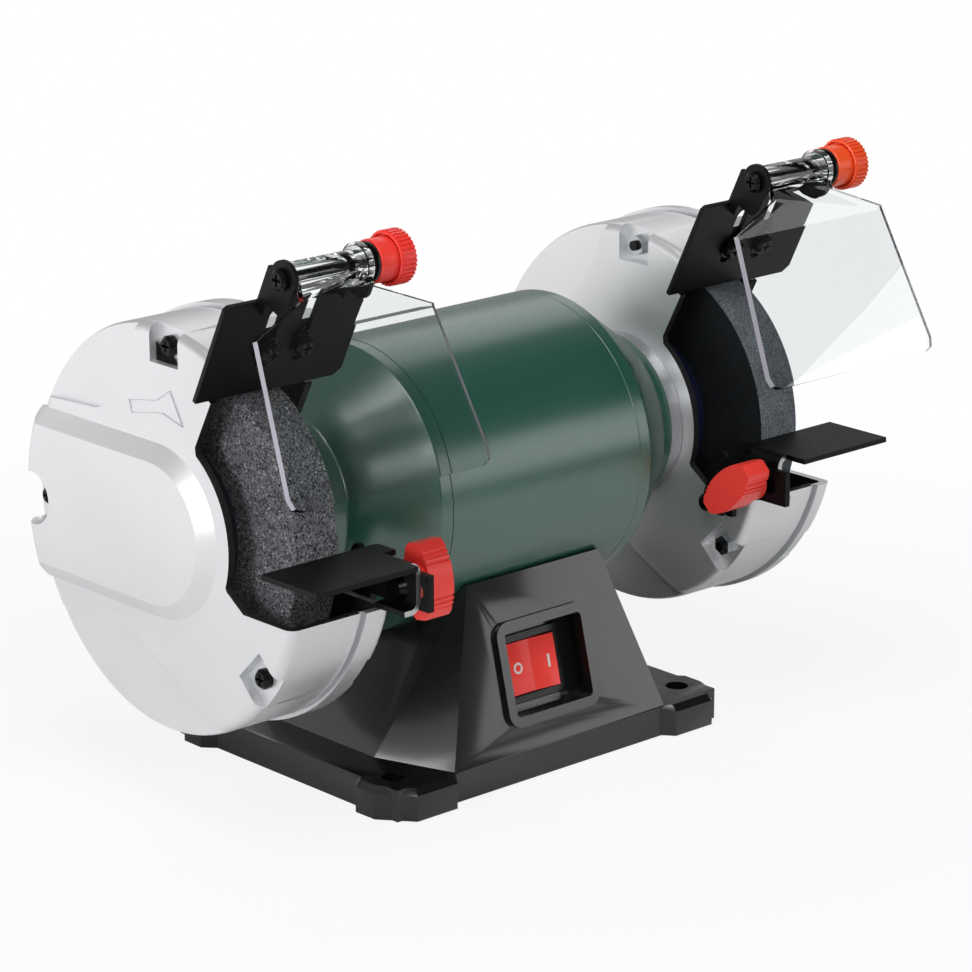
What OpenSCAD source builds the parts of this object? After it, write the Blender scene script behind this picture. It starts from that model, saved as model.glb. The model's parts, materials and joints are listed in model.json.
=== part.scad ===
// Bench grinder with two 125 mm wheels. Millimetres.
// +X along the shaft to the right, -Y towards the user, +Z up.
// The origin is the centre of the four bench bolts, on the bench.

/* [Wheels] */
// Outer diameter of a grinding wheel
wheel_d = 125; // [115:1:127]
// Thickness of a grinding wheel
wheel_w = 20; // [16:1:22]
// Bore of a grinding wheel
wheel_bore = 20; // [18:1:22]
// Distance between the middles of the two wheels
wheel_span = 236; // [230:1:244]
// Diameter of the paper label on each side of a wheel
label_d = 62; // [50:1:80]
// Diameter of the steel flanges that clamp a wheel
flange_d = 50; // [40:1:60]

/* [Shaft] */
// Height of the shaft's axis above the bench
shaft_h = 109; // [109:1:116]
// Shaft diameter in the bearings
shaft_d = 15; // [14:1:17]
// Shaft diameter in the wheels
arbor_d = 12; // [10:1:13]
// Outside diameter of a ball bearing
bearing_d = 35; // [32:1:42]
// Width of a ball bearing
bearing_w = 11; // [9:1:12]

/* [Motor] */
// Outside diameter of the motor
motor_d = 113.4; // [110:0.2:114]
// Length of the motor's shell, from seam to seam
shell_len = 95.6; // [90:0.2:100]
// Wall of the motor's shell and end caps
motor_wall = 2.6; // [2:0.1:4]
// Width of the round rim of an end cap, before its cone
cap_rim_w = 5.8; // [4:0.1:8]
// Diameter at the small end of an end cap's cone
cone_d = 79.4; // [74:0.2:84]
// Length of an end cap's cone
cone_len = 24; // [20:0.5:26]
// Diameter of an end cap's painted neck
neck_d = 71; // [69:1:74]
// Diameter of an end cap's bare spigot, which carries the guard
spigot_d = 67; // [60:1:68]
// Length of the spigot
spigot_len = 7; // [5:0.5:9]
// Length of the iron stack in the stator and in the rotor
stack_len = 50; // [40:1:56]
// Diameter of the rotor's iron
rotor_d = 59.4; // [54:0.2:60]

/* [Guards] */
// Distance from the middle of the machine to a guard's inner face
guard_in = 94; // [92:0.5:95]
// Width of the left-hand guard over both its shells
guard_w = 45.5; // [45:0.5:50]
// Depth of the left-hand shell of each guard
deep_w = 33.5; // [31:0.5:34.5]
// Outside diameter of the left-hand, deep shell
deep_d = 153; // [151:0.5:155]
// Outside diameter of the right-hand, shallow shell
shallow_d = 156; // [155:0.5:158]
// Wall of the guard shells
guard_wall = 3; // [2.5:0.1:3.5]
// Rounding of the guards' outer edges
guard_round = 4; // [3.2:0.1:5]
// Radius of the guard opening's inner edge
mouth_r = 39.5; // [36:0.5:44]
// Angle of the opening's upper corner, from straight up towards the front
mouth_top = 31.3; // [28:0.1:34]
// Lean of the opening's upper edge, forward from straight up
mouth_lean = 27.6; // [26:0.1:30]
// Drop of the opening's lower edge below the shaft's axis
mouth_drop = 20.2; // [20:0.2:22]
// How far the middle bulge stands out of an outer cover
bulge_h = 4.5; // [3:0.1:5]
// Radius of the bulge's foot
bulge_r = 33; // [31:0.5:35]
// Depth of the sunk panels in the outer faces
panel_sink = 1.8; // [1:0.1:2]
// Radius at which the guard's three bolts stand
guard_bolt_r = 69.5; // [69.5:0.1:70]
// Depth of the pockets for the bolt heads and nuts
pocket_h = 4; // [3.4:0.1:4.5]

/* [Spark arrestors] */
// Width of a spark arrestor plate
arrestor_w = 65; // [60:1:70]
// Length of a spark arrestor plate, up its slope
arrestor_len = 42; // [40:1:46]
// Thickness of a spark arrestor plate
arrestor_t = 2; // [1.5:0.1:2.5]
// Lean of a spark arrestor plate, back at its foot
arrestor_tilt = 26; // [24:1:28]
// Gap between the plate's foot and the wheel
arrestor_gap = 2; // [1.6:0.1:3]
// Distance between the plate's two slots
slot_pitch = 15.5; // [14:0.5:17]
// Width of a slot
slot_w = 5.2; // [5:0.1:6]
// Distance between the two ears that carry the eye shield
ear_pitch = 37.5; // [36:0.5:39]

/* [Eye shields] */
// Diameter of an eye shield's hinge barrel
barrel_d = 11; // [10.5:0.5:12]
// Diameter of the collar at the barrel's right end
collar_d = 15.5; // [14.5:0.5:16]
// Thickness of the clear sheet
shield_t = 2.6; // [2:0.1:3]
// Width of an eye shield at its bend
shield_top_w = 80; // [76:1:84]
// Width of an eye shield at its lower edge
shield_low_w = 91; // [86:1:96]
// Length of the eye shield below its bend
shield_len = 58; // [50:1:60]
// Angle of the part above the bend, forward from straight down
shield_top_tilt = 22; // [18:1:26]
// Angle of the part below the bend, forward from straight down
shield_low_tilt = 25; // [22:1:28]

/* [Tool rests] */
// Depth of a tool rest's table, front to back
table_y = 30; // [26:1:34]
// How far a table reaches out from its flange
table_x = 51; // [46:1:52]
// Thickness of the tool rests' sheet
table_t = 2; // [1.6:0.1:2.5]
// Gap between a table and its wheel
rest_gap = 2; // [1.6:0.1:3]
// Length of a wing knob
wing_len = 28; // [26:1:32]

/* [Base] */
// Length of the base's skirt
base_x = 165.4; // [160:0.2:170]
// Depth of the base's skirt
base_y = 128.4; // [124:0.2:134]
// Height of the skirt and the feet
skirt_h = 12.3; // [10:0.1:14]
// Height of the saddle's front edge
saddle_h = 76.5; // [74:0.5:78]
// Wall of the base
base_wall = 3; // [2.4:0.1:3.6]
// Bench bolt spacing along the shaft
bolt_x = 148; // [144:1:152]
// Bench bolt spacing from front to back
bolt_y = 104; // [100:1:108]
// Diameter of the bench bolt holes
bench_hole_d = 9; // [7:0.5:10]

/* [Switch] */
// Width of the raised frame round the switch
well_x = 47; // [44:1:50]
// Height of the raised frame round the switch
well_z = 40.5; // [40:0.5:43]
// How far the frame stands out
well_raise = 2; // [1.5:0.5:4]
// Width of the rocker
rocker_x = 24.4; // [22:0.2:25]
// Height of the rocker
rocker_z = 20; // [18:0.2:21]

/* [Hidden] */
$fn = 72;
LEFT = -1;
RIGHT = 1;
eps = 0.01;
// Radial clearance where one round piece sits or turns in another
fit = 0.05;
// Clearance between neighbouring pieces that only pass each other
pass = 0.3;

wheel_r = wheel_d / 2;
wheel_x = wheel_span / 2;
wheel_in = wheel_x - wheel_w / 2;
label_t = 0.4;
flange_t = 2.5;
nut_t = 5;
arbor_end = wheel_x + wheel_w / 2 + label_t + flange_t + nut_t + 0.6;

// Motor stations, measured outwards from the middle
seam_x = shell_len / 2;
rim_x = seam_x + cap_rim_w;
cone_x = rim_x + cone_len;
spigot_x = guard_in - spigot_len;
motor_r = motor_d / 2;
motor_in_r = motor_r - motor_wall;
lip_t = 4;
bearing_x = guard_in - lip_t - bearing_w;
shoulder_x = guard_in - 2;
winding_len = 12;
sleeve_r = wheel_bore / 2 - 0.8;

// Guards: both have their deep shell on the left
deep_r = deep_d / 2;
shallow_r = shallow_d / 2;
// The right-hand guard is narrower: its bulge just clears the shaft's end
right_w = arbor_end + 0.5 + guard_wall - bulge_h - guard_in;
groove_w = 1.6;
groove_h = 1.4;
bolt_angles = [4, 128, -92];
mount_angles = [0, 120, 240];
mount_r = 27;
guard_hub_r = 14;
bulge_slope = 6.2;
boss_r = 5;
// Pockets at the bolts: two square ones, each on its own turn, and a round one at the back
pocket_turns = [0, 135];
pocket_w = 16.2;
pocket_in = 6.7;
scallop_r = 10.2;
scallop_off = 2;
m4_r = 2;
m4_hole_r = 2.2;

// Spark arrestors, in a frame at the middle of the plate's foot
foot_angle = 30.6;
arrestor_off = 24.3;
screw_z = 19.2;
lug_t = 5;
ear_z = 14.5;
ear_fwd = 6.6;
ear_r = 6.7;
ear_t = 2;
ear_left = -17.5;
ear_right = ear_left + ear_pitch;
bolt_d = 4;

// Eye shields
knob_d = 20;
waist_d = 16;
cap_h = 8.6;
collar_len = 6.5;
shield_web = 21;
washer_t = 1;

// Tool rests
table_top = shaft_h + 0.2;
bracket_t = 2.5;
rest_back = -(wheel_r + rest_gap);
rest_front = rest_back - table_y;
rest_in = guard_in + 0.1;
bend_r = 4.5;
flange_h = 19.3;
flange_back = 6;
rest_bolt_z = shaft_h - 11.4;
rest_bolt_d = 6;
rest_head_d = 10.6;
rest_bolt_len = 17;
slot_travel = 8;
arm_h = 13.6;
arm_past = 14.2;
leg_drop = 17.1;
bracket_screw_drop = 13.8;
bracket_holes = [-58.5, -50];

// Base
front_y = base_y / 2;
top_y = 48.2;
front_x = 54.6;
top_x = 33.9;
flank_x = 66;
flank_y = 32;
face_tilt = atan((front_y - top_y) / (saddle_h - skirt_h));
saddle_r = motor_r + 0.2;
plate_t = 2;
well_up = 29;
well_off = -1.8;
well_wall = 3.9;
well_depth = 9;
bezel_t = 1.6;
rocker_tilt = 6;
saddle_screw_y = 22;
saddle_boss = 6;
screw_head_t = 3.5;
foot_bevel = 2.4;
cover_screw_x = base_x / 2 - 12;
cover_screw_y = 20;
gland_x = 30;
gland_up = 20;
gland_r = 6;

// ---- helpers -------------------------------------------------------------

// Left end of a guard, on the given side of the machine
function guard_width(s) = s < 0 ? guard_w : right_w;
function guard_x0(s) = s < 0 ? -guard_in - guard_w : guard_in;
function guard_seam(s) = guard_x0(s) + deep_w;
function guard_x1(s) = guard_x0(s) + guard_width(s);
// How far back from a table's front edge the clamping bolt stands
function rest_bolt_y(s) = rest_back - (s < 0 ? 16 : 10.5);
// A point in the guard's face plane, from its radius and its angle
// from straight up towards the front
function polar(r, a) = [-r * sin(a), r * cos(a)];

// Turned shape on the shaft's axis, its height running towards +X
module on_shaft(x) {
    translate([x, 0, shaft_h]) rotate([0, 90, 0]) children();
}

// The same, its height running outwards on the given side
module outwards(s, x) {
    translate([s * x, 0, shaft_h]) rotate([0, s * 90, 0]) children();
}

// Flat shape drawn as [y, z] about the shaft, from x over thickness t
module slab(x, t) {
    translate([x, 0, shaft_h]) rotate([90, 0, 90]) linear_extrude(t) children();
}

// Copies at the guard's three bolts
module at_guard_bolts(x) {
    for (a = bolt_angles) {
        p = polar(guard_bolt_r, a);
        translate([x, p[0], shaft_h + p[1]]) rotate([0, 90, 0]) children();
    }
}

module ring(r_out, r_in, t) {
    difference() {
        cylinder(r = r_out, h = t);
        translate([0, 0, -1]) cylinder(r = r_in, h = t + 2);
    }
}

// Hexagon prism from its width across flats
module hexagon(across, t) {
    cylinder(d = across / cos(30), h = t, $fn = 6);
}

// Pan head with a cross recess, its face at the top
module pan_head(d, t) {
    difference() {
        union() {
            cylinder(d = d, h = t * 0.6);
            translate([0, 0, t * 0.6 - eps]) cylinder(d1 = d, d2 = d * 0.72, h = t * 0.4 + eps);
        }
        for (a = [0, 90]) {
            rotate([0, 0, a]) translate([-d * 0.28, -d * 0.06, t * 0.5])
                cube([d * 0.56, d * 0.12, t]);
        }
    }
}

// ---- base ----------------------------------------------------------------

// Plan of one foot in the +X, +Y corner, its outer edges moved in by the inset
module foot_plan(inset) {
    polygon([[57.1, 68.7 - inset], [76.8 - inset / 2, 68.7 - inset], [86.9 - inset, 56.2 - inset / 2],
        [87.1 - inset, 45.8], [80 - inset, 38], [50, 38], [50, 60]]);
}

module foot() {
    hull() {
        linear_extrude(skirt_h - foot_bevel) foot_plan(0);
        linear_extrude(skirt_h) foot_plan(foot_bevel);
    }
}

module four_corners() {
    for (i = [0, 1]) {
        for (j = [0, 1]) {
            mirror([i, 0, 0]) mirror([0, j, 0]) children();
        }
    }
}

// Plan of the pedestal at one height: front corners and flank corners
module pedestal_plan(cx, cy, fx, fy) {
    polygon([[-cx, -cy], [cx, -cy], [fx, -fy], [fx, fy], [cx, cy], [-cx, cy], [-fx, fy], [-fx, -fy]]);
}

module pedestal(inset) {
    hull() {
        translate([0, 0, skirt_h - 1])
            linear_extrude(1) pedestal_plan(front_x - inset, front_y - inset, flank_x - inset, flank_y);
        translate([0, 0, saddle_h - 1])
            linear_extrude(1) pedestal_plan(top_x - inset, top_y - inset, top_x + 2 - inset, top_y / 2);
    }
}

// Frame on the sloping front face: +Z up the slope, -Y out of it
module on_front_face() {
    translate([0, -front_y, skirt_h]) rotate([-face_tilt, 0, 0]) children();
}

// Plate with rounded corners, standing in the frame's XZ plane
module rounded_plate(w, h, t, r) {
    translate([0, t, 0]) rotate([90, 0, 0]) linear_extrude(t) union() {
        square([w - 2 * r, h], center = true);
        square([w, h - 2 * r], center = true);
        for (i = [-1, 1]) {
            for (j = [-1, 1]) {
                translate([i * (w / 2 - r), j * (h / 2 - r)]) circle(r = r);
            }
        }
    }
}

module on_back_face() {
    mirror([0, 1, 0]) on_front_face() children();
}

module base_housing() {
    color("#17181a") difference() {
        union() {
            translate([-base_x / 2, -base_y / 2, 0]) cube([base_x, base_y, skirt_h]);
            four_corners() foot();
            pedestal(0);
            on_front_face() translate([well_off, -well_raise, well_up])
                rounded_plate(well_x, well_z, well_raise + 1, 6);
        }
        // hollow of the pedestal, below the saddle and behind the switch well
        difference() {
            union() {
                pedestal(base_wall);
                translate([0, 0, skirt_h - base_wall - 1]) linear_extrude(base_wall + 1.5)
                    pedestal_plan(front_x - base_wall, front_y - base_wall, flank_x - base_wall, flank_y);
            }
            on_front_face() translate([well_off, -1, well_up])
                rounded_plate(well_x, well_z, well_depth + base_wall + 1, 2);
            on_shaft(-100) cylinder(r = saddle_r + base_wall, h = 200);
            for (s = [-1, 1]) {
                translate([0, s * saddle_screw_y, shaft_h - motor_r - saddle_boss]) cylinder(r = 6, h = 30);
            }
        }
        // hollow of the skirt, open below
        difference() {
            translate([base_wall - base_x / 2, base_wall - base_y / 2, -1])
                cube([base_x - 2 * base_wall, base_y - 2 * base_wall, skirt_h - base_wall + 1]);
            for (i = [-1, 1]) {
                for (j = [-1, 1]) {
                    translate([i * bolt_x / 2, j * bolt_y / 2, -2]) cylinder(r = bench_hole_d / 2 + 4, h = 20);
                    translate([i * cover_screw_x, j * cover_screw_y, plate_t + 1]) cylinder(r = 4, h = 20);
                }
            }
        }
        // saddle for the motor
        on_shaft(-100) cylinder(r = saddle_r, h = 200);
        // well and cut-out for the switch
        on_front_face() translate([well_off, -well_raise - 1, well_up])
            rounded_plate(well_x - 2 * well_wall, well_z - 2 * well_wall, well_raise + 1 + well_depth, 2);
        on_front_face() translate([well_off - cutout_x / 2, 0, well_up - cutout_z / 2])
            cube([cutout_x, well_depth + base_wall + 2, cutout_z]);
        // bench bolts, plate screws, motor screws and cable gland
        for (i = [-1, 1]) {
            for (j = [-1, 1]) {
                translate([i * bolt_x / 2, j * bolt_y / 2, -1]) cylinder(d = bench_hole_d, h = skirt_h + 2);
                translate([i * cover_screw_x, j * cover_screw_y, -1])
                    cylinder(r = 1.5, h = skirt_h - base_wall);
            }
        }
        for (s = [-1, 1]) {
            translate([0, s * saddle_screw_y, 0]) cylinder(r = m4_hole_r, h = shaft_h);
        }
        on_back_face() translate([gland_x, -5, gland_up]) rotate([-90, 0, 0])
            cylinder(r = gland_r + fit, h = 15);
    }
}

module base_plate() {
    color("#2b2c2e") difference() {
        translate([pass + base_wall - base_x / 2, pass + base_wall - base_y / 2, 1])
            cube([base_x - 2 * (base_wall + pass), base_y - 2 * (base_wall + pass), plate_t]);
        for (i = [-1, 1]) {
            for (j = [-1, 1]) {
                translate([i * bolt_x / 2, j * bolt_y / 2, 0]) cylinder(r = bench_hole_d / 2 + 4 + pass, h = 6);
                translate([i * cover_screw_x, j * cover_screw_y, 0]) cylinder(r = 1.8, h = 6);
            }
        }
        for (i = [-4:4]) {
            translate([i * 9 - 1.5, -18, 0]) cube([3, 36, 6]);
        }
    }
}

// Screws that hold the bottom plate
module base_screws() {
    color("#8c8f92") for (i = [-1, 1]) {
        for (j = [-1, 1]) {
            translate([i * cover_screw_x, j * cover_screw_y, 1]) {
                translate([0, 0, -1]) cylinder(r = 3, h = 1);
                cylinder(r = 1.5 - fit, h = 7);
            }
        }
    }
}

// Screws that pull the motor's shell down on the saddle
module saddle_screws() {
    seat = shaft_h - motor_r - saddle_boss;
    tip = shaft_h - sqrt(pow(motor_in_r, 2) - pow(saddle_screw_y - m4_r, 2)) - 0.3;
    color("#8c8f92") for (s = [-1, 1]) {
        translate([0, s * saddle_screw_y, seat - screw_head_t]) {
            cylinder(r = 3.5, h = screw_head_t);
            cylinder(r = m4_r, h = tip - seat + screw_head_t);
        }
    }
}

switch_len = 18;
cutout_x = 26;
cutout_z = 22;
bezel_over = 2.3;

// Housing with its bezel in the well and two blades behind
module switch_body() {
    bezel_x = cutout_x + 2 * bezel_over;
    bezel_z = cutout_z + 2 * bezel_over;
    body_x = cutout_x - 0.4;
    body_z = cutout_z - 0.4;
    color("#101113") on_front_face() translate([well_off, 0, well_up]) difference() {
        union() {
            translate([-bezel_x / 2, well_depth - bezel_t, -bezel_z / 2]) cube([bezel_x, bezel_t, bezel_z]);
            translate([-body_x / 2, well_depth - eps, -body_z / 2]) cube([body_x, switch_len, body_z]);
            for (i = [-1, 1]) {
                translate([i * 7 - 0.4, well_depth + switch_len - eps, -3]) cube([0.8, 8, 6]);
            }
        }
        translate([-rocker_x / 2 - pass, well_depth - bezel_t - 1, -rocker_z / 2 - pass])
            cube([rocker_x + 2 * pass, 11, rocker_z + 2 * pass]);
    }
}

rocker_pivot_y = well_depth + 3;

// Rocker with two faces that meet in a shallow vee, pressed in at the left
module switch_rocker() {
    color("#d8262b") on_front_face() translate([well_off, rocker_pivot_y, well_up]) rotate([0, 0, -rocker_tilt])
        difference() {
            intersection() {
                translate([0, 0, -rocker_z / 2]) linear_extrude(rocker_z)
                    polygon([[-rocker_x / 2, -5.6], [0, -4.4], [rocker_x / 2, -5.6], [rocker_x / 2, 0],
                        [6, 3.6], [-6, 3.6], [-rocker_x / 2, 0]]);
                translate([0, 0, -rocker_z / 2]) cylinder(r = rocker_x / 2 + 0.2, h = rocker_z);
            }
            translate([0, 0, -rocker_z]) cylinder(r = 1, h = 2 * rocker_z);
        }
}

// The capacitor fills the height between the bottom plate and the saddle's screws
cap_floor = 1 + plate_t + 3.5;
cap_room = shaft_h - motor_r - saddle_boss - screw_head_t - 1.2 - cap_floor;
cap_r_max = 17.5;
cap_r = min(cap_r_max, cap_room / 2);
cap_len = 56;
cap_y = 14;
cap_z = cap_floor + cap_r;
clip_w = 14;
clip_t = 1.4;
clip_foot = 9;

module capacitor() {
    color("#d9dad6") translate([-cap_len / 2, cap_y, cap_z]) rotate([0, 90, 0]) {
        cylinder(r = cap_r, h = cap_len);
        translate([0, 0, cap_len - eps]) cylinder(r = cap_r - 3, h = 2);
        for (i = [-1, 1]) {
            translate([-3, i * 5 - 0.4, cap_len + 2 - eps]) cube([6, 0.8, 6]);
        }
    }
}

// Clip that ties the capacitor to the bottom plate
module capacitor_clip() {
    foot_y = cap_r + clip_foot;
    color("#7d8083") translate([-clip_w / 2, cap_y, cap_z]) difference() {
        union() {
            rotate([0, 90, 0]) ring(cap_r + clip_t, cap_r + 0.1, clip_w);
            translate([0, -foot_y, -cap_z + 1 + plate_t]) cube([clip_w, 2 * foot_y, clip_t]);
            translate([0, -4, -cap_z + 1 + plate_t]) cube([clip_w, 8, cap_floor - plate_t - 1.5]);
        }
        translate([-1, 0, 0]) rotate([0, 90, 0]) cylinder(r = cap_r + 0.1, h = clip_w + 2);
        for (i = [-1, 1]) {
            translate([clip_w / 2, i * (cap_r + clip_foot / 2 + 0.5), -cap_z - 1]) cylinder(r = 1.6, h = 8);
        }
    }
}

// Empty gland in the back of the base, where the mains lead enters
module cable_gland() {
    color("#141517") on_back_face() translate([gland_x, 0, gland_up]) rotate([-90, 0, 0]) difference() {
        union() {
            translate([0, 0, -6]) cylinder(r = gland_r, h = 14);
            translate([0, 0, -6]) cylinder(r1 = gland_r + 1, r2 = gland_r + 3, h = 6 - fit);
            translate([0, 0, base_wall + fit]) cylinder(r = gland_r + 2.4, h = 2.4);
        }
        translate([0, 0, -10]) cylinder(r = 3.6, h = 30);
    }
}

// ---- motor ---------------------------------------------------------------

module motor_shell() {
    color("#1d5c46") difference() {
        on_shaft(-seam_x) ring(motor_r, motor_in_r, shell_len);
        for (s = [-1, 1]) {
            translate([0, s * saddle_screw_y, shaft_h - motor_r - 1]) cylinder(r = m4_r + fit, h = 20);
        }
    }
}

module end_cap(s) {
    color("#1d5c46") outwards(s, 0) rotate_extrude() polygon([
        [motor_r, seam_x], [motor_r, rim_x], [cone_d / 2, cone_x], [neck_d / 2, cone_x + 3.4],
        [neck_d / 2 - 0.8, spigot_x], [spigot_d / 2, spigot_x], [spigot_d / 2, guard_in],
        [sleeve_r + pass, guard_in], [sleeve_r + pass, guard_in - lip_t],
        [bearing_d / 2 + 0.02, guard_in - lip_t],
        [bearing_d / 2 + 0.02, bearing_x - 1], [neck_d / 2 - 6, bearing_x - 1], [neck_d / 2 - 4, cone_x - 3],
        [motor_r - motor_wall - 1.4, rim_x - 1], [motor_r - motor_wall - 1.4, seam_x - 4],
        [motor_in_r - fit, seam_x - 4], [motor_in_r - fit, seam_x]]);
}

slot_count = 24;

// Cut outline of one stator slot, at the bore
module stator_slots(clear) {
    for (i = [0:slot_count - 1]) {
        rotate([0, 0, i * 360 / slot_count]) translate([rotor_d / 2 + 3, -1.7 - clear])
            square([13, 3.4 + 2 * clear]);
    }
}

module stator_core() {
    color("#6c6f72") on_shaft(-stack_len / 2) linear_extrude(stack_len) difference() {
        circle(r = motor_in_r - fit);
        circle(r = rotor_d / 2 + 0.4);
        stator_slots(0);
    }
}

module stator_windings() {
    color("#b4622d") on_shaft(-stack_len / 2) {
        linear_extrude(stack_len) stator_slots(-0.2);
        for (z = [-winding_len, stack_len]) {
            translate([0, 0, z]) ring(rotor_d / 2 + 16.5, rotor_d / 2 + 2.4, winding_len);
        }
    }
}

module bearing(s) {
    color("#b9bcc0") outwards(s, bearing_x) difference() {
        cylinder(d = bearing_d, h = bearing_w);
        translate([0, 0, -1]) cylinder(r = shaft_d / 2 + fit, h = bearing_w + 2);
        for (z = [-1, bearing_w - 0.6]) {
            translate([0, 0, z]) ring(bearing_d / 2 - 3, shaft_d / 2 + 2.4, 1.6);
        }
    }
}

module shaft() {
    color("#9a9da0") {
        on_shaft(-shoulder_x) cylinder(d = shaft_d, h = 2 * shoulder_x);
        for (s = [LEFT, RIGHT]) {
            outwards(s, shoulder_x - eps) cylinder(d = arbor_d, h = arbor_end - shoulder_x - 1);
            outwards(s, arbor_end - 1 - eps) cylinder(d1 = arbor_d, d2 = arbor_d - 2, h = 1);
        }
    }
}

module rotor_core() {
    color("#a7aaad") difference() {
        union() {
            on_shaft(-stack_len / 2) cylinder(d = rotor_d, h = stack_len);
            for (s = [LEFT, RIGHT]) {
                outwards(s, stack_len / 2 - eps) ring(rotor_d / 2 - 1.5, rotor_d / 2 - 9, 6);
                outwards(s, stack_len / 2 + 6 - 2 * eps) for (i = [0:7]) {
                    rotate([0, 0, i * 45]) translate([rotor_d / 2 - 8.5, -1, 0]) cube([6.5, 2, 6]);
                }
            }
        }
        on_shaft(-100) cylinder(r = shaft_d / 2 + 0.02, h = 200);
    }
}

// ---- wheels --------------------------------------------------------------

module wheel(s) {
    color(s < 0 ? "#5c5d5f" : "#4d5a63") outwards(s, wheel_in) difference() {
        cylinder(r = wheel_r, h = wheel_w, $fn = 120);
        translate([0, 0, -1]) cylinder(r = wheel_bore / 2 + fit, h = wheel_w + 2);
    }
}

// Inner flange: sleeve against the shaft's shoulder, disc, and hub in the wheel's bore
module inner_flange(s) {
    disc_x = wheel_in - label_t - flange_t;
    color("#8f9295") difference() {
        union() {
            outwards(s, shoulder_x + fit) cylinder(r = sleeve_r, h = disc_x - shoulder_x);
            outwards(s, disc_x) cylinder(d = flange_d, h = flange_t);
            outwards(s, disc_x + flange_t - eps) cylinder(d = wheel_bore, h = wheel_w - 2);
        }
        outwards(s, shoulder_x - 5) cylinder(r = arbor_d / 2 + 0.02, h = 100);
    }
}

module outer_flange(s) {
    color("#8f9295") outwards(s, wheel_x + wheel_w / 2 + label_t) difference() {
        cylinder(d = flange_d, h = flange_t);
        translate([0, 0, -eps]) ring(flange_d / 2 - 5, arbor_d / 2 + 3, 1);
        translate([0, 0, -1]) cylinder(r = arbor_d / 2 + 0.02, h = 10);
    }
}

module arbor_nut(s) {
    color("#a3a6a9") outwards(s, wheel_x + wheel_w / 2 + label_t + flange_t) difference() {
        hexagon(19, nut_t);
        translate([0, 0, -1]) cylinder(r = arbor_d / 2 + 0.02, h = nut_t + 2);
    }
}

// The paper discs glued to both sides of a wheel
module wheel_labels(s) {
    color(s < 0 ? "#3a3d42" : "#1c2c5e") for (x = [wheel_in - label_t, wheel_in + wheel_w]) {
        outwards(s, x) ring(label_d / 2, wheel_bore / 2 + 0.3, label_t);
    }
}

// ---- guards --------------------------------------------------------------

// Solid outline of a shell from its rim, z = 0, to its rounded face
module shell_form(r, w, round) {
    rotate_extrude() union() {
        square([r, w - round]);
        square([r - round, w]);
        intersection() {
            translate([r - round, w - round]) circle(r = round);
            square([r, w]);
        }
    }
}

module shell_wall(r, w) {
    difference() {
        shell_form(r, w, guard_round);
        translate([0, 0, -eps]) shell_form(r - guard_wall, w - guard_wall + eps, guard_round - 2);
    }
}

// Outline of the opening at the front of a guard, as [y, z]. Its upper corner is cut off.
module mouth() {
    far = 95;
    corner = polar(mouth_r, mouth_top);
    difference() {
        polygon([polar(mouth_r - 1, mouth_top + 3.8), corner + polar(2.4, mouth_lean),
            corner + polar(far, mouth_lean), [-far, far], [-far, -mouth_drop], [-mouth_r - 7.7, -mouth_drop],
            [-mouth_r + 1.4, -mouth_drop + 6.2], [-mouth_r + 3, -mouth_drop + 9.2], [-10, 0]]);
        circle(r = mouth_r);
    }
}

// Outline of the middle bulge, running out at the back rim
module bulge_outline(r) {
    circle(r = r);
    translate([0, -r]) square([shallow_r + 1, 2 * r]);
}

// Outline of the hollow inside the bulge, which leaves the metal round the back pocket
module bulge_hollow() {
    difference() {
        intersection() {
            bulge_outline(bulge_r - bulge_slope - 1);
            circle(r = deep_r - guard_wall - 3);
        }
        scallop(guard_wall);
    }
}

// The two sunk panels at the back of a shell's face
module sunk_panels() {
    polygon([[5, 89], [13.9, 68.8], [16.9, 62.1], [21.7, 52.2], [29.8, 42.9], [32, 40.2], [35.5, 38.9],
        [62, 37.2], [110, 34.3], [60, 110]]);
    polygon([[110, -45.4], [58.3, -42.7], [42.5, -41.7], [29.6, -40.9], [18.8, -41.7], [4.8, -48.5],
        [-12.5, -57.9], [-29.6, -66], [-50, -75.6], [-40, -110], [110, -110]]);
}

// Outlines of the two square pockets, grown by the given width
module square_pockets(grow) {
    for (i = [0, 1]) {
        translate(polar(guard_bolt_r, bolt_angles[i])) rotate(pocket_turns[i])
            translate([-pocket_w / 2 - grow, -pocket_in - grow]) square([pocket_w + 2 * grow, 3 * pocket_in]);
    }
}

module scallop(grow) {
    translate(polar(guard_bolt_r + scallop_off, bolt_angles[2])) circle(r = scallop_r + grow);
}

// Cut of the pockets into a shell's face at x; side is -1 on a left-hand face
module pockets(x, side) {
    deep = side < 0 ? x - 1 : x - pocket_h;
    slab(deep, 1 + pocket_h) square_pockets(0);
    slab(side < 0 ? deep - bulge_h : deep, 1 + pocket_h + bulge_h) scallop(0);
}

// Metal behind the pockets
module pocket_backs(x) {
    slab(x, pocket_h + guard_wall) {
        square_pockets(guard_wall);
        scallop(guard_wall);
    }
}

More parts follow.
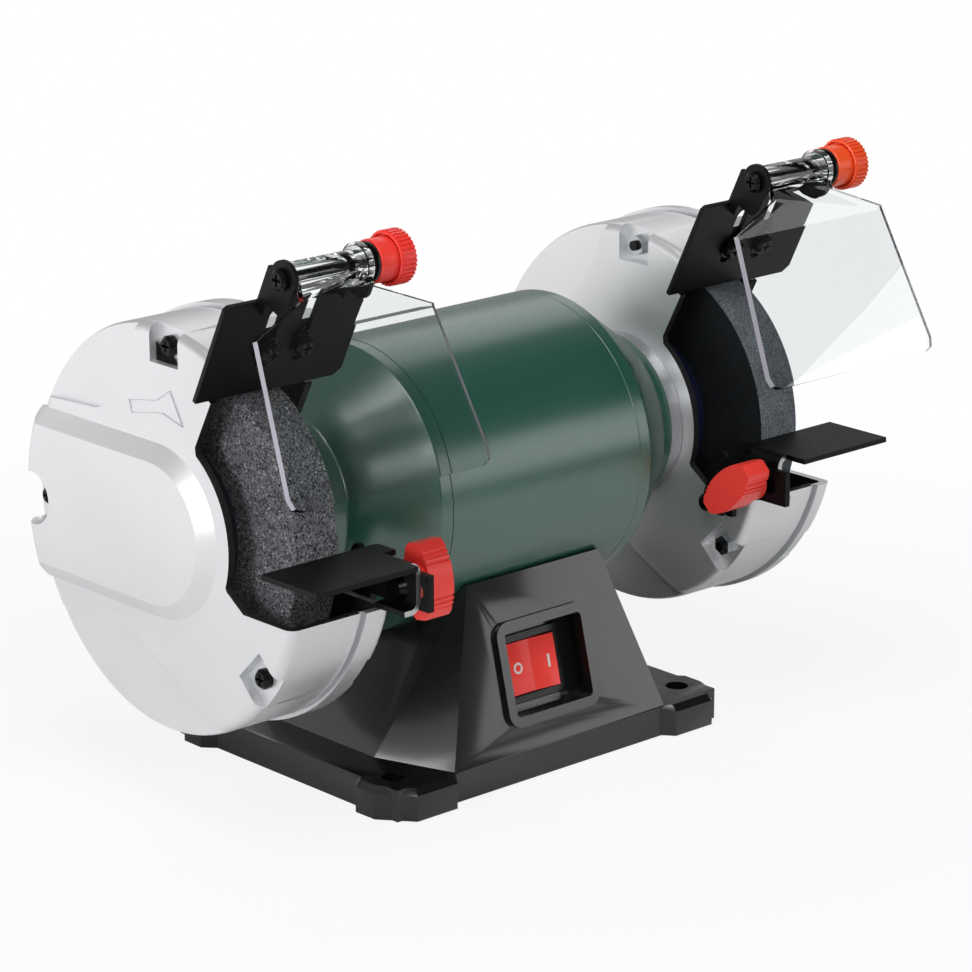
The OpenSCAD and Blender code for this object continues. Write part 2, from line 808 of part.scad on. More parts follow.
// Shell on the left of a guard. The outer cover has the bulge, the inner guard has the shaft's hole.
module deep_shell(s, outer) {
    x0 = guard_x0(s);
    color("#c9ccce") difference() {
        union() {
            difference() {
                translate([x0 + deep_w, 0, shaft_h]) rotate([0, -90, 0]) shell_wall(deep_r, deep_w);
                on_shaft(x0 + deep_w - groove_w) ring(deep_r + 1, deep_r - groove_h, groove_w + 1);
            }
            intersection() {
                union() {
                    at_guard_bolts(x0 + guard_wall - 1) cylinder(r = boss_r, h = deep_w - guard_wall + 1);
                    pocket_backs(x0);
                }
                translate([x0 + deep_w, 0, shaft_h]) rotate([0, -90, 0])
                    shell_form(deep_r, deep_w, guard_round);
            }
            if (outer) {
                intersection() {
                    bulge(x0, -1);
                    translate([x0 + deep_w, 0, shaft_h]) rotate([0, -90, 0])
                        shell_form(deep_r, deep_w + bulge_h, guard_round);
                }
            }
            arrestor_frame(s) arrestor_lug();
        }
        if (outer) {
            slab(x0 - bulge_h + guard_wall, bulge_h + eps) bulge_hollow();
        } else {
            guard_hub_holes(x0 - 1);
        }
        slab(x0 - 1, 1 + panel_sink) sunk_panels();
        pockets(x0, -1);
        at_guard_bolts(x0 - 5) cylinder(r = m4_hole_r, h = deep_w + 10);
        slab(x0 - 10, deep_w + 10.5) mouth();
        arrestor_frame(s) {
            arrestor_holes();
            arrestor_room();
        }
    }
}

// Shell on the right of a guard
module shallow_shell(s, outer) {
    x1 = guard_x1(s);
    shallow_w = guard_width(s) - deep_w;
    color("#c9ccce") difference() {
        union() {
            translate([guard_seam(s), 0, shaft_h]) rotate([0, 90, 0]) shell_wall(shallow_r, shallow_w);
            intersection() {
                union() {
                    at_guard_bolts(guard_seam(s)) cylinder(r = boss_r, h = shallow_w - 1);
                    pocket_backs(x1 - pocket_h - guard_wall);
                }
                translate([guard_seam(s), 0, shaft_h]) rotate([0, 90, 0])
                    shell_form(shallow_r, shallow_w, guard_round);
            }
            if (outer) {
                intersection() {
                    bulge(x1, 1);
                    translate([guard_seam(s), 0, shaft_h]) rotate([0, 90, 0])
                        shell_form(shallow_r, shallow_w + bulge_h, guard_round);
                }
            }
        }
        if (outer) {
            slab(x1 - guard_wall - eps, bulge_h + eps) bulge_hollow();
            slab(x1 - panel_sink, 1 + panel_sink) sunk_panels();
        } else {
            guard_hub_holes(x1 - guard_wall - 1);
        }
        pockets(x1, 1);
        at_guard_bolts(guard_seam(s) - 1) cylinder(r = m4_hole_r, h = shallow_w + 2);
        slab(guard_seam(s) - 0.5, shallow_w + 10) mouth();
        arrestor_frame(s) arrestor_room();
    }
}

// Bulge on an outer face, with sloping sides; side is -1 on a left-hand face
module bulge(x, side) {
    hull() {
        slab(x - (side > 0 ? 1 : 0), 1) bulge_outline(bulge_r);
        slab(x + side * bulge_h - (side > 0 ? 0.2 : 0), 0.2) bulge_outline(bulge_r - bulge_slope);
    }
}

module guard_hub_holes(x) {
    on_shaft(x) cylinder(r = guard_hub_r, h = guard_wall + 2);
    for (a = mount_angles) {
        p = polar(mount_r, a);
        translate([x, p[0], shaft_h + p[1]]) rotate([0, 90, 0]) cylinder(r = m4_hole_r, h = guard_wall + 2);
    }
}

// Screws that hold the inner guards on the motor's spigots
module guard_mount_screws() {
    color("#2a2b2d") for (s = [LEFT, RIGHT]) {
        for (a = mount_angles) {
            p = polar(mount_r, a);
            translate([s * (guard_in + guard_wall), p[0], shaft_h + p[1]]) rotate([0, s * 90, 0]) {
                pan_head(7, 2.4);
                translate([0, 0, -guard_wall + pass]) cylinder(r = m4_r, h = guard_wall - pass + eps);
            }
        }
    }
}

// Through bolts of a guard, with their heads on the machine's outer side
module guard_bolts(s) {
    head_x = guard_in + guard_width(s) - pocket_h;
    tip_x = guard_in - 0.5;
    color("#1b1b1d") for (a = bolt_angles) {
        p = polar(guard_bolt_r, a);
        translate([s * head_x, p[0], shaft_h + p[1]]) rotate([0, s * 90, 0]) {
            pan_head(7.6, 3.2);
            translate([0, 0, tip_x - head_x]) cylinder(r = m4_r, h = head_x - tip_x + eps);
        }
    }
}

module guard_nuts(s) {
    color("#b4b7ba") for (a = bolt_angles) {
        p = polar(guard_bolt_r, a);
        translate([s * (guard_in + pocket_h), p[0], shaft_h + p[1]]) rotate([0, -s * 90, 0]) difference() {
            hexagon(7, 3);
            translate([0, 0, -1]) cylinder(r = m4_r + 0.02, h = 6);
        }
    }
}

// ---- spark arrestors -----------------------------------------------------

// Frame at the middle of the plate's foot: +Z up the plate, -Y out of its front
module arrestor_frame(s) {
    p = polar(wheel_r + arrestor_gap, foot_angle);
    translate([guard_x0(s) + arrestor_off, p[0], shaft_h + p[1]]) rotate([arrestor_tilt, 0, 0]) children();
}

// Lug of the deep shell, behind the plate. Past the seam it stays clear of the shallow shell.
module arrestor_lug() {
    step = deep_w - arrestor_off - pass;
    translate([-slot_pitch / 2 - 7, arrestor_t, 8]) cube([slot_pitch / 2 + 7 + step, lug_t, screw_z]);
    translate([step - eps, arrestor_t, 15]) cube([slot_pitch / 2 + 7 - step, lug_t, screw_z - 7]);
}

// Room for the plate and its travel, cut out of both shells
module arrestor_room() {
    translate([-40, -60, -2.2]) cube([80, 60 + arrestor_t, 60]);
}

module arrestor_holes() {
    for (i = [-1, 1]) {
        translate([i * slot_pitch / 2, -1, screw_z]) rotate([-90, 0, 0]) cylinder(r = m4_hole_r, h = 20);
    }
}

// One of the two ears, standing forward from the plate
module ear(x) {
    round = 5;
    low = arrestor_len + 1;
    pivot_z = arrestor_len + ear_z;
    translate([x, 0, 0]) rotate([90, 0, 90]) linear_extrude(ear_t) difference() {
        union() {
            translate([-ear_fwd, pivot_z]) circle(r = ear_r);
            translate([-2 * ear_fwd, low + round]) square([2 * ear_fwd + arrestor_t, ear_z - 1 - round]);
            translate([-2 * ear_fwd + round, low]) square([2 * ear_fwd - round + arrestor_t, ear_z - 1]);
            translate([-2 * ear_fwd + round, low + round]) circle(r = round);
            translate([-ear_fwd / 2, arrestor_len - 4]) square([ear_fwd / 2 + arrestor_t, 6]);
        }
        translate([-ear_fwd, pivot_z]) circle(r = bolt_d / 2 + fit);
    }
}

module spark_arrestor(s) {
    half = arrestor_w / 2;
    slot_top = slot_pitch / 2 + slot_w / 2;
    color("#1a1b1d") arrestor_frame(s) difference() {
        union() {
            translate([0, arrestor_t, 0]) rotate([90, 0, 0]) linear_extrude(arrestor_t)
                polygon([[-half, 0], [half - 3, 0], [half, 3], [half, arrestor_len - 10],
                    [half - 5, arrestor_len], [-half + 1.5, arrestor_len], [-half, arrestor_len - 1.5]]);
            translate([ear_left, 0, arrestor_len - 4]) cube([9, arrestor_t, ear_z - 1.5]);
            translate([slot_top, 0, arrestor_len - 4]) cube([ear_right - slot_top, arrestor_t, ear_z - 1.5]);
            ear(ear_left);
            ear(ear_right - ear_t);
        }
        for (i = [-1, 1]) {
            top = i < 0 ? 34 : arrestor_len + 30;
            translate([i * slot_pitch / 2, 0, 0]) {
                translate([0, -1, screw_z - 5]) rotate([-90, 0, 0]) cylinder(d = slot_w, h = arrestor_t + 2);
                translate([0, -1, top]) rotate([-90, 0, 0]) cylinder(d = slot_w, h = arrestor_t + 2);
                translate([-slot_w / 2, -1, screw_z - 5]) cube([slot_w, arrestor_t + 2, top - screw_z + 5]);
            }
        }
    }
}

module arrestor_screws(s) {
    color("#1b1b1d") arrestor_frame(s) for (i = [-1, 1]) {
        translate([i * slot_pitch / 2, 0, screw_z]) rotate([90, 0, 0]) {
            translate([0, 0, pass / 3]) ring(4.8, m4_r + 0.02, 0.8);
            translate([0, 0, pass / 3 + 0.8]) pan_head(8, 3);
            translate([0, 0, -arrestor_t - lug_t - 2]) cylinder(r = m4_r, h = arrestor_t + lug_t + 3);
        }
    }
}

// Frame on the eye shield's hinge axis, at the left ear's outer face
module hinge_frame(s) {
    arrestor_frame(s) translate([ear_left, -ear_fwd, arrestor_len + ear_z])
        rotate([-arrestor_tilt, 0, 0]) children();
}

knob_start = ear_pitch + washer_t + 0.1;
knob_len = 16;
bolt_len = knob_start + 12;

module hinge_bolt(s) {
    color("#1b1b1d") hinge_frame(s) rotate([0, 90, 0]) {
        translate([0, 0, -2.8]) rotate([0, 180, 0]) translate([0, 0, -2.8]) pan_head(8, 2.8);
        cylinder(d = bolt_d, h = bolt_len);
    }
}

module hinge_washer(s) {
    color("#111214") hinge_frame(s) translate([ear_pitch, 0, 0]) rotate([0, 90, 0])
        ring(7.4, bolt_d / 2 + fit, washer_t);
}

// Ribbed hand knob with a smooth waist and a groove round it
module shield_knob(s) {
    cap_z0 = knob_len - cap_h;
    cap = knob_d / 2 - 0.5;
    color("#e2382c") hinge_frame(s) translate([knob_start, 0, 0]) rotate([0, 90, 0]) union() {
        rotate_extrude() polygon([[bolt_d / 2 + fit, 0], [waist_d / 2 - 0.4, 0], [waist_d / 2, 0.4],
            [waist_d / 2, cap_z0 + 2], [waist_d / 2 + 1, cap_z0 + 2], [waist_d / 2 + 1, cap_z0],
            [cap - 0.4, cap_z0],
            [cap, cap_z0 + 0.4], [cap, knob_len - 1.6], [cap - 2, knob_len - 0.3], [cap - 5, knob_len],
            [0, knob_len], [0, knob_len - 3], [bolt_d / 2 + fit, knob_len - 3]]);
        for (i = [0:35]) {
            rotate([0, 0, i * 10]) translate([cap - 0.5, -0.45, cap_z0 + 0.7]) cube([1, 0.9, cap_h - 2.4]);
        }
    }
}

// Clear shield: barrel, collar, flared web in front of the ears, and lower sheet
module eye_shield(s) {
    barrel_len = ear_pitch - 2 * ear_t - 0.4;
    half = shield_top_w / 2;
    low = shield_low_w / 2;
    off = barrel_d / 2 - shield_t / 2 - 0.4;
    neck = barrel_len / 2 - 0.5;
    color("#dfe6ea", 0.4) hinge_frame(s) translate([ear_t + 0.2, 0, 0]) difference() {
        union() {
            rotate([0, 90, 0]) rotate_extrude() polygon([[0, 0], [barrel_d / 2, 0],
                [barrel_d / 2, barrel_len - collar_len], [collar_d / 2 - 0.8, barrel_len - 2.5],
                [collar_d / 2, barrel_len - 2.5], [collar_d / 2, barrel_len], [0, barrel_len]]);
            translate([barrel_len / 2, 0, 0]) rotate([-shield_top_tilt, 0, 0]) translate([0, -off, 0]) {
                rotate([90, 0, 0]) translate([0, 0, -shield_t / 2]) linear_extrude(shield_t)
                    polygon([[-neck + 2, 0], [-neck, -4], [-neck, -9], [-half, -shield_web + 1.8],
                        [-half, -shield_web], [half, -shield_web], [half, -shield_web + 1.8],
                        [neck, -9], [neck, -4], [neck - 2, 0]]);
                translate([0, 0, -shield_web]) rotate([shield_top_tilt - shield_low_tilt, 0, 0]) {
                    rotate([90, 0, 0]) translate([0, 0, -shield_t / 2]) linear_extrude(shield_t)
                        polygon([[-half, 0.4], [half, 0.4], [low, -shield_len + 5],
                            [low - 1.2, -shield_len + 1.4], [low - 4.5, -shield_len], [-low + 4.5, -shield_len],
                            [-low + 1.2, -shield_len + 1.4], [-low, -shield_len + 5]]);
                }
            }
        }
        translate([-1, 0, 0]) rotate([0, 90, 0]) cylinder(r = bolt_d / 2 + fit, h = ear_pitch);
    }
}

// ---- tool rests ----------------------------------------------------------

// Bracket on the guard's inner face, with the slot that the rest slides in
module rest_bracket(s) {
    bolt_y = rest_bolt_y(s);
    end_y = s < 0 ? bolt_y - arm_past : rest_front + 3;
    color("#1a1b1d") translate([s > 0 ? guard_in - bracket_t : -guard_in, 0, 0]) rotate([90, 0, 90])
        linear_extrude(bracket_t) difference() {
            union() {
                translate([end_y, rest_bolt_z - arm_h / 2]) square([-54 - end_y, arm_h]);
                translate([0, rest_bolt_z]) polygon([[-63.5, 0], [-63.5, -leg_drop], [-46, -leg_drop],
                    [-53, 8], [-54.4, 9.7], [-56.5, 9.9], [-60, arm_h / 2]]);
            }
            hull() {
                translate([bolt_y + 2, rest_bolt_z]) circle(d = rest_bolt_d + 0.4, $fn = 32);
                translate([bolt_y - slot_travel, rest_bolt_z]) circle(d = rest_bolt_d + 0.4, $fn = 32);
            }
            for (y = bracket_holes) {
                translate([y, rest_bolt_z - bracket_screw_drop]) circle(r = m4_hole_r);
            }
        }
}

module bracket_screws() {
    color("#1b1b1d") for (s = [LEFT, RIGHT]) {
        for (y = bracket_holes) {
            translate([s * (guard_in - bracket_t), y, rest_bolt_z - bracket_screw_drop])
                rotate([0, -s * 90, 0]) {
                pan_head(7, 2.4);
                translate([0, 0, -bracket_t + pass]) cylinder(r = m4_r, h = bracket_t - pass + eps);
            }
        }
    }
}

// Bent sheet: table, bend, flange and foot lip. Drawn on the right-hand side, and mirrored for the left.
module tool_rest(s) {
    bolt_y = rest_bolt_y(s);
    back = bolt_y + flange_back;
    front = bolt_y - 10;
    low = table_top - flange_h;
    color("#1c1d1f") mirror([s < 0 ? 1 : 0, 0, 0]) difference() {
        union() {
            translate([rest_in + bend_r - eps, rest_front, table_top - table_t])
                cube([table_x - bend_r + eps, table_y, table_t]);
            translate([rest_in - bracket_t, back, table_top - table_t])
                cube([bend_r + bracket_t + 1, rest_back - back, table_t]);
            translate([rest_in + bend_r, back, table_top - bend_r]) rotate([90, 0, 0]) bend(back - front);
            translate([rest_in, front, low + bend_r]) cube([table_t, back - front, flange_h - 2 * bend_r]);
            translate([rest_in + bend_r, front, low + bend_r]) rotate([-90, 0, 0]) bend(back - front);
            translate([rest_in + bend_r - eps, front, low]) cube([3, back - front, table_t]);
        }
        translate([rest_in - 1, bolt_y, rest_bolt_z]) rotate([0, 90, 0])
            cylinder(d = rest_bolt_d + 2 * fit, h = table_t + 2);
        translate([rest_in + table_t, bolt_y, rest_bolt_z]) rotate([0, 90, 0])
            cylinder(d = rest_head_d + 2 * fit, h = bend_r);
    }
}

// Quarter of a tube wall for the bend, extruded over len
module bend(len) {
    linear_extrude(len) intersection() {
        difference() {
            circle(r = bend_r);
            circle(r = bend_r - table_t);
        }
        translate([-bend_r, 0]) square(bend_r);
    }
}

module rest_bolt(s) {
    color("#a8abae") translate([s * (rest_in + table_t), rest_bolt_y(s), rest_bolt_z]) rotate([0, -s * 90, 0]) {
        translate([0, 0, -2.4]) cylinder(d1 = rest_head_d - 3, d2 = rest_head_d, h = 2.4);
        translate([0, 0, -eps]) cylinder(d = rest_bolt_d, h = rest_bolt_len);
    }
}

// Wing knob that clamps the rest
module rest_knob(s) {
    knob_x = guard_in - bracket_t - pass;
    bore_len = knob_x - (rest_in + table_t - rest_bolt_len) + 0.5;
    turn = s < 0 ? -9 : 47;
    color("#e2382c") translate([s * knob_x, rest_bolt_y(s), rest_bolt_z]) rotate([turn, 0, 0])
        rotate([0, -s * 90, 0]) difference() {
            union() {
                cylinder(d = 13.8, h = 5);
                translate([0, 0, 4]) wing();
            }
            translate([0, 0, -1]) cylinder(r = rest_bolt_d / 2 + fit, h = bore_len + 1);
        }
}

// The wing itself, long along X and narrow at its ends, with finger grooves near them
module wing() {
    half = wing_len / 2;
    difference() {
        linear_extrude(11.5) polygon([[-half, -2.4], [-half + 1.6, -3.9], [-half * 0.6, -5.9],
            [-half * 0.3, -6.8], [0, -7.1], [half * 0.3, -6.8], [half * 0.6, -5.9],
            [half - 1.6, -3.9], [half, -2.4],
            [half, 2.4], [half - 1.6, 3.9], [half * 0.6, 5.9], [half * 0.3, 6.8], [0, 7.1],
            [-half * 0.3, 6.8], [-half * 0.6, 5.9], [-half + 1.6, 3.9], [-half, 2.4]]);
        for (i = [-1, 1]) {
            for (j = [-1, 1]) {
                for (k = [0:2]) {
                    translate([i * (half - 3.6 - k * 1.9) - 0.45, j * (5.1 + k * 0.5) - 0.6, -1])
                        cube([0.9, 1.2, 14]);
                }
            }
        }
    }
}

// ---- the assembly --------------------------------------------------------

base_housing();
base_plate();
base_screws();
saddle_screws();
switch_body();
switch_rocker();
capacitor();
capacitor_clip();
cable_gland();
motor_shell();
end_cap(LEFT);  // end_cap_left
end_cap(RIGHT);  // end_cap_right
stator_core();
stator_windings();
bearing(LEFT);  // bearing_left
bearing(RIGHT);  // bearing_right
shaft();
rotor_core();
shallow_shell(LEFT, false);  // inner_guard_left
deep_shell(LEFT, true);  // outer_cover_left
deep_shell(RIGHT, false);  // inner_guard_right
shallow_shell(RIGHT, true);  // outer_cover_right
guard_bolts(LEFT);  // guard_bolts_left
guard_bolts(RIGHT);  // guard_bolts_right
guard_nuts(LEFT);  // guard_nuts_left
guard_nuts(RIGHT);  // guard_nuts_right
guard_mount_screws();
wheel(LEFT);  // wheel_left
wheel(RIGHT);  // wheel_right
inner_flange(LEFT);  // inner_flange_left
inner_flange(RIGHT);  // inner_flange_right
outer_flange(LEFT);  // outer_flange_left
outer_flange(RIGHT);  // outer_flange_right
arbor_nut(LEFT);  // arbor_nut_left
arbor_nut(RIGHT);  // arbor_nut_right
wheel_labels(LEFT);  // wheel_labels_left
wheel_labels(RIGHT);  // wheel_labels_right
spark_arrestor(LEFT);  // spark_arrestor_left
spark_arrestor(RIGHT);  // spark_arrestor_right
arrestor_screws(LEFT);  // arrestor_screws_left
arrestor_screws(RIGHT);  // arrestor_screws_right
hinge_bolt(LEFT);  // hinge_bolt_left
hinge_bolt(RIGHT);  // hinge_bolt_right
eye_shield(LEFT);  // eye_shield_left
eye_shield(RIGHT);  // eye_shield_right
hinge_washer(LEFT);  // hinge_washer_left
hinge_washer(RIGHT);  // hinge_washer_right
shield_knob(LEFT);  // shield_knob_left
shield_knob(RIGHT);  // shield_knob_right
rest_bracket(LEFT);  // rest_bracket_left
rest_bracket(RIGHT);  // rest_bracket_right
bracket_screws();
tool_rest(LEFT);  // tool_rest_left
tool_rest(RIGHT);  // tool_rest_right
rest_bolt(LEFT);  // rest_bolt_left
rest_bolt(RIGHT);  // rest_bolt_right
rest_knob(LEFT);  // rest_knob_left
rest_knob(RIGHT);  // rest_knob_right
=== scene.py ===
# %% [markdown]
# # A bench grinder
# This lesson dresses a small bench grinder: a green motor on a black cast foot, a wheel at each end in a
# silver guard, spark arrestors, clear eye shields, tool rests and red hand knobs. The engineering model
# brings every solid at its true size and place. We give those solids soft edges and real finishes, and add
# the small things that nobody engineers, such as the marks on the switch. The wheels run on the shaft, so
# its height is read from one.

# %% Load the engineered parts
import json
import math

import bmesh
import bpy
from mathutils import Matrix, Vector
from mathutils.bvhtree import BVHTree


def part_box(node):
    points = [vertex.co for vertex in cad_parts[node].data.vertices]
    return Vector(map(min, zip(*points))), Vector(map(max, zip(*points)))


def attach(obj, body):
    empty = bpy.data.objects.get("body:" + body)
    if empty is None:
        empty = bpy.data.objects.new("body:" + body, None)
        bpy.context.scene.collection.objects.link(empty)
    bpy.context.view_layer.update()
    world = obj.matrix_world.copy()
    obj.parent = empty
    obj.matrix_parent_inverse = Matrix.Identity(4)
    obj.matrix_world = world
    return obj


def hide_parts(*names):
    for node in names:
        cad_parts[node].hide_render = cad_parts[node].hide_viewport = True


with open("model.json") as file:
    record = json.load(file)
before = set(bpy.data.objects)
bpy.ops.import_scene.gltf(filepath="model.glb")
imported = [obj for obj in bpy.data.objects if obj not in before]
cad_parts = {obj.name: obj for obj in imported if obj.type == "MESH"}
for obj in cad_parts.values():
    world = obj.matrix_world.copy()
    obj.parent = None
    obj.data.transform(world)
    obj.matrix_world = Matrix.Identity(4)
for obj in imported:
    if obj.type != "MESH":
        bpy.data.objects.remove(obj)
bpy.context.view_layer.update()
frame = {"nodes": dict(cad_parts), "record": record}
nodes = frame["nodes"]
MM = 0.001  # one millimetre in metres
SIDES = ("left", "right")
body_of_node = {n: b for b, members in frame["record"]["behaviour"]["bodies"].items() for n in members}
slot_of_node = {row["node"]: row["material_slot"] for row in frame["record"]["subparts"]}
wheel_low, wheel_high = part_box("wheel_left")
SHAFT_Z = round((wheel_low[2] + wheel_high[2]) / 2 / MM, 2)

# %% [markdown]
# The camera looks from the front left and a little above, with a long lens, as a product picture is taken.
# Its three directions are written out, so the view is the same each time.

# %% Camera
CAMERA_AT = Vector((-958.2, -1070.3, 528.4)) * MM
CAMERA_RIGHT = Vector((0.73822, -0.67456, 0.0))
CAMERA_UP = Vector((0.19373, 0.21201, 0.95787))
CAMERA_BACK = Vector((-0.64614, -0.70712, 0.28719))
LENS_MM = 144.56

camera = bpy.data.objects.new("camera", bpy.data.cameras.new("camera"))
bpy.context.scene.collection.objects.link(camera)
turn = Matrix((CAMERA_RIGHT, CAMERA_UP, CAMERA_BACK)).transposed()
camera.matrix_world = Matrix.Translation(CAMERA_AT) @ turn.to_4x4()
camera.data.lens = LENS_MM
camera.data.sensor_width = 36
camera.data.clip_start = 0.05
bpy.context.scene.camera = camera
bpy.context.scene.view_settings.view_transform = "Standard"
print("camera at", tuple(round(v, 3) for v in CAMERA_AT), "m")

# %% [markdown]
# One small function adds a shader node with its settings and its links, and another turns a hex colour,
# which is written for the eye, into the linear numbers that the renderer adds up.

# %% Helpers for finishes


def hex_colour(code):
    """The renderer's linear colour for a code such as #c0c3c6."""
    def linear(byte):
        value = byte / 255
        return ((value + 0.055) / 1.055) ** 2.4 if value > 0.04045 else value / 12.92

    return [linear(int(code[i:i + 2], 16)) for i in (1, 3, 5)] + [1.0]


def add(tree, kind, inputs=None, **settings):
    """Add a shader node. An input is a value, or another node's socket to link."""
    made = tree.nodes.new("ShaderNode" + kind)
    for key, value in settings.items():
        setattr(made, key, value)
    for name, value in (inputs or {}).items():
        if isinstance(value, bpy.types.NodeSocket):
            tree.links.new(value, made.inputs[name])
        else:
            made.inputs[name].default_value = value
    return made


def new_finish(name):
    finish = bpy.data.materials.new(name)
    finish.use_nodes = True
    finish.node_tree.nodes.clear()
    return finish, finish.node_tree


def per_metre(millimetres):
    """A noise scale whose lumps are about this wide."""
    return 1.0 / (millimetres * MM)


# %% [markdown]
# Most surfaces here are paint, powder coat or moulded plastic. They share one recipe: two close tones
# mottled by noise, a roughness that wanders a little, and a fine bump whose lumps have a real width in
# millimetres. A clear top layer, the coat, gives enamel its second, sharper gloss.

# %% The common recipe
# places of the two colours among the Mix node's inputs, and of the mixed colour among its outputs
MIX_A, MIX_B, MIX_RESULT = 6, 7, 2
# width of the patches of the two tones in millimetres, and the share by which the roughness wanders
DRIFT_MM = 45
WANDER = 0.12


def coated(name, tone, shade, lump_mm, bump, roughness, metallic=0.0, specular=0.5, coat=0.0, coat_rough=0.08,
           coat_ior=1.5):
    finish, tree = new_finish(name)
    place = add(tree, "TexCoord").outputs["Object"]
    lumps = add(tree, "TexNoise", {"Vector": place, "Scale": per_metre(lump_mm), "Detail": 3.0})
    drift = add(tree, "TexNoise", {"Vector": place, "Scale": per_metre(DRIFT_MM), "Detail": 2.0})
    mix = add(tree, "Mix", {"Factor": drift.outputs["Fac"]}, data_type="RGBA")
    mix.inputs[MIX_A].default_value = hex_colour(tone)
    mix.inputs[MIX_B].default_value = hex_colour(shade)
    worn = add(tree, "MapRange", {"Value": lumps.outputs["Fac"], "From Min": 0.3, "From Max": 0.7,
                                  "To Min": roughness * (1 - WANDER), "To Max": roughness * (1 + WANDER)})
    relief = add(tree, "Bump", {"Height": lumps.outputs["Fac"], "Strength": 1.0, "Distance": bump * MM})
    shader = add(tree, "BsdfPrincipled", {
        "Base Color": mix.outputs[MIX_RESULT], "Roughness": worn.outputs["Result"],
        "Normal": relief.outputs["Normal"], "Metallic": metallic})
    shader.inputs["Specular IOR Level"].default_value = specular
    shader.inputs["Coat Weight"].default_value = coat
    shader.inputs["Coat Roughness"].default_value = coat_rough
    shader.inputs["Coat IOR"].default_value = coat_ior
    add(tree, "OutputMaterial", {"Surface": shader.outputs["BSDF"]})
    return finish


# %% [markdown]
# The foot is cast aluminium under thick black enamel, which dries with a faint orange peel. The motor wears
# a satin green enamel. The guards are sprayed with aluminium paint, so they are nearly as bright as bare
# metal but softer. The plates and brackets are sheet steel under a dull black powder coat.

# %% Paints
# Stoved enamel: deep black with a wide, sharp gloss and a soft orange peel.
enamel_black = coated("stoved_enamel_black", "#060607", "#09090a", 2.4, 0.04, 0.36, specular=0.3,
                      coat=1.0, coat_rough=0.11)
# Powder coat: nearly black and dull, so the plates read as silhouettes.
powder_black = coated("powder_coat_black", "#050506", "#08080a", 0.8, 0.015, 0.48, specular=0.2)
# Satin enamel: a deep bluish green under a pale veil of reflected light.
enamel_green = coated("satin_enamel_green", "#124b3b", "#165243", 1.4, 0.012, 0.44,
                      coat=1.0, coat_rough=0.26, coat_ior=1.7)
# Aluminium paint: bright, soft, and a little cool.
paint_silver = coated("aluminium_paint", "#dedfe1", "#e6e7e9", 0.7, 0.008, 0.38, metallic=0.75)
# Painted shade: a matt black on the inside of a guard, standing in for the shade that makes it look deep.
guard_inside_painted_shade = coated("black_painted_shade", "#08080a", "#0d0d0e", 1.2, 0.03, 0.7)
print("paints made")

# %% [markdown]
# Screws are blackened steel. The knobs and the switch are moulded plastic: the knobs satin, the rocker
# glossy.

# %% Plastics and small fasteners
# Black oxide: dark grey steel that still shines where it faces the light.
oxide_black = coated("black_oxide_steel", "#1a1a1c", "#242426", 0.5, 0.01, 0.26, metallic=0.85)
# Moulded ABS: an even colour with a soft sheen.
abs_black = coated("moulded_abs_black", "#090a0b", "#0e0f10", 1.0, 0.01, 0.35)
abs_red = coated("moulded_abs_red", "#f23a32", "#f5463c", 1.2, 0.010, 0.36)
abs_orange = coated("moulded_abs_orange_red", "#f6501f", "#f85c2c", 1.2, 0.010, 0.36)
# Polished polycarbonate: the glossiest plastic here.
rocker_red = coated("polished_polycarbonate_red", "#f8443e", "#fa4c44", 2.0, 0.003, 0.2, specular=0.25)
# White ink of the two marks on the switch.
filler_white = coated("white_filler", "#e8e2e0", "#dcd6d4", 0.6, 0.004, 0.5)
# Polypropylene: a dull, slightly warm white, on the capacitor's can.
can_white = coated("polypropylene_white", "#d8d9d4", "#c9cac5", 2.0, 0.01, 0.4)
print("plastics made")

# %% [markdown]
# Bare metal keeps its own colour in its reflections, so it is fully metallic. Turned steel is bright, zinc
# is bluish, and a motor's laminations are dull.

# %% Metals
# Turned steel: bright, with fine tool marks.
steel_bright = coated("turned_steel", "#c3c5c7", "#b2b4b6", 0.35, 0.01, 0.26, metallic=1.0)
# Sheared steel: the bright cut edge of a sheet, rougher than a turned face.
steel_sheared = coated("sheared_steel", "#d2d2d2", "#b8b8b8", 0.4, 0.03, 0.36, metallic=1.0)
# Machined aluminium: paler than steel.
aluminium_bare = coated("machined_aluminium", "#c9cacc", "#bcbdc0", 0.4, 0.008, 0.30, metallic=1.0)
# Zinc plate: cool and bright.
zinc = coated("zinc_plate", "#c0c3c6", "#a9acb2", 0.8, 0.006, 0.24, metallic=1.0)
# Electrical steel: dull grey stampings.
iron_stack = coated("lamination_steel", "#6a6d70", "#5a5c5f", 0.5, 0.03, 0.5, metallic=1.0)
# Enamelled copper: warm brown wire.
copper_wire = coated("enamelled_copper", "#a8541f", "#8f4318", 0.9, 0.25, 0.35, metallic=1.0)
print("metals made")

# %% [markdown]
# A grinding wheel is hard grains in a clay bond. Each cell of a Voronoi pattern is one grain with its own
# grey, and a second, coarser noise leaves the face cloudy. The grains of the coarse wheel are about half a
# millimetre; the fine wheel's are drawn at 0.45 mm, a little coarser than they are, so that they show.

# %% Abrasive
# width of the cloudy patches in millimetres
CLOUD_MM = 9
# in the spread from the darkest grain to the palest: where the middle tones and the palest tone begin, and
# how much the middle tones span
MIDDLE_FROM, PALE_FROM = 0.18, 0.84
MIDDLE_SPAN = 0.5


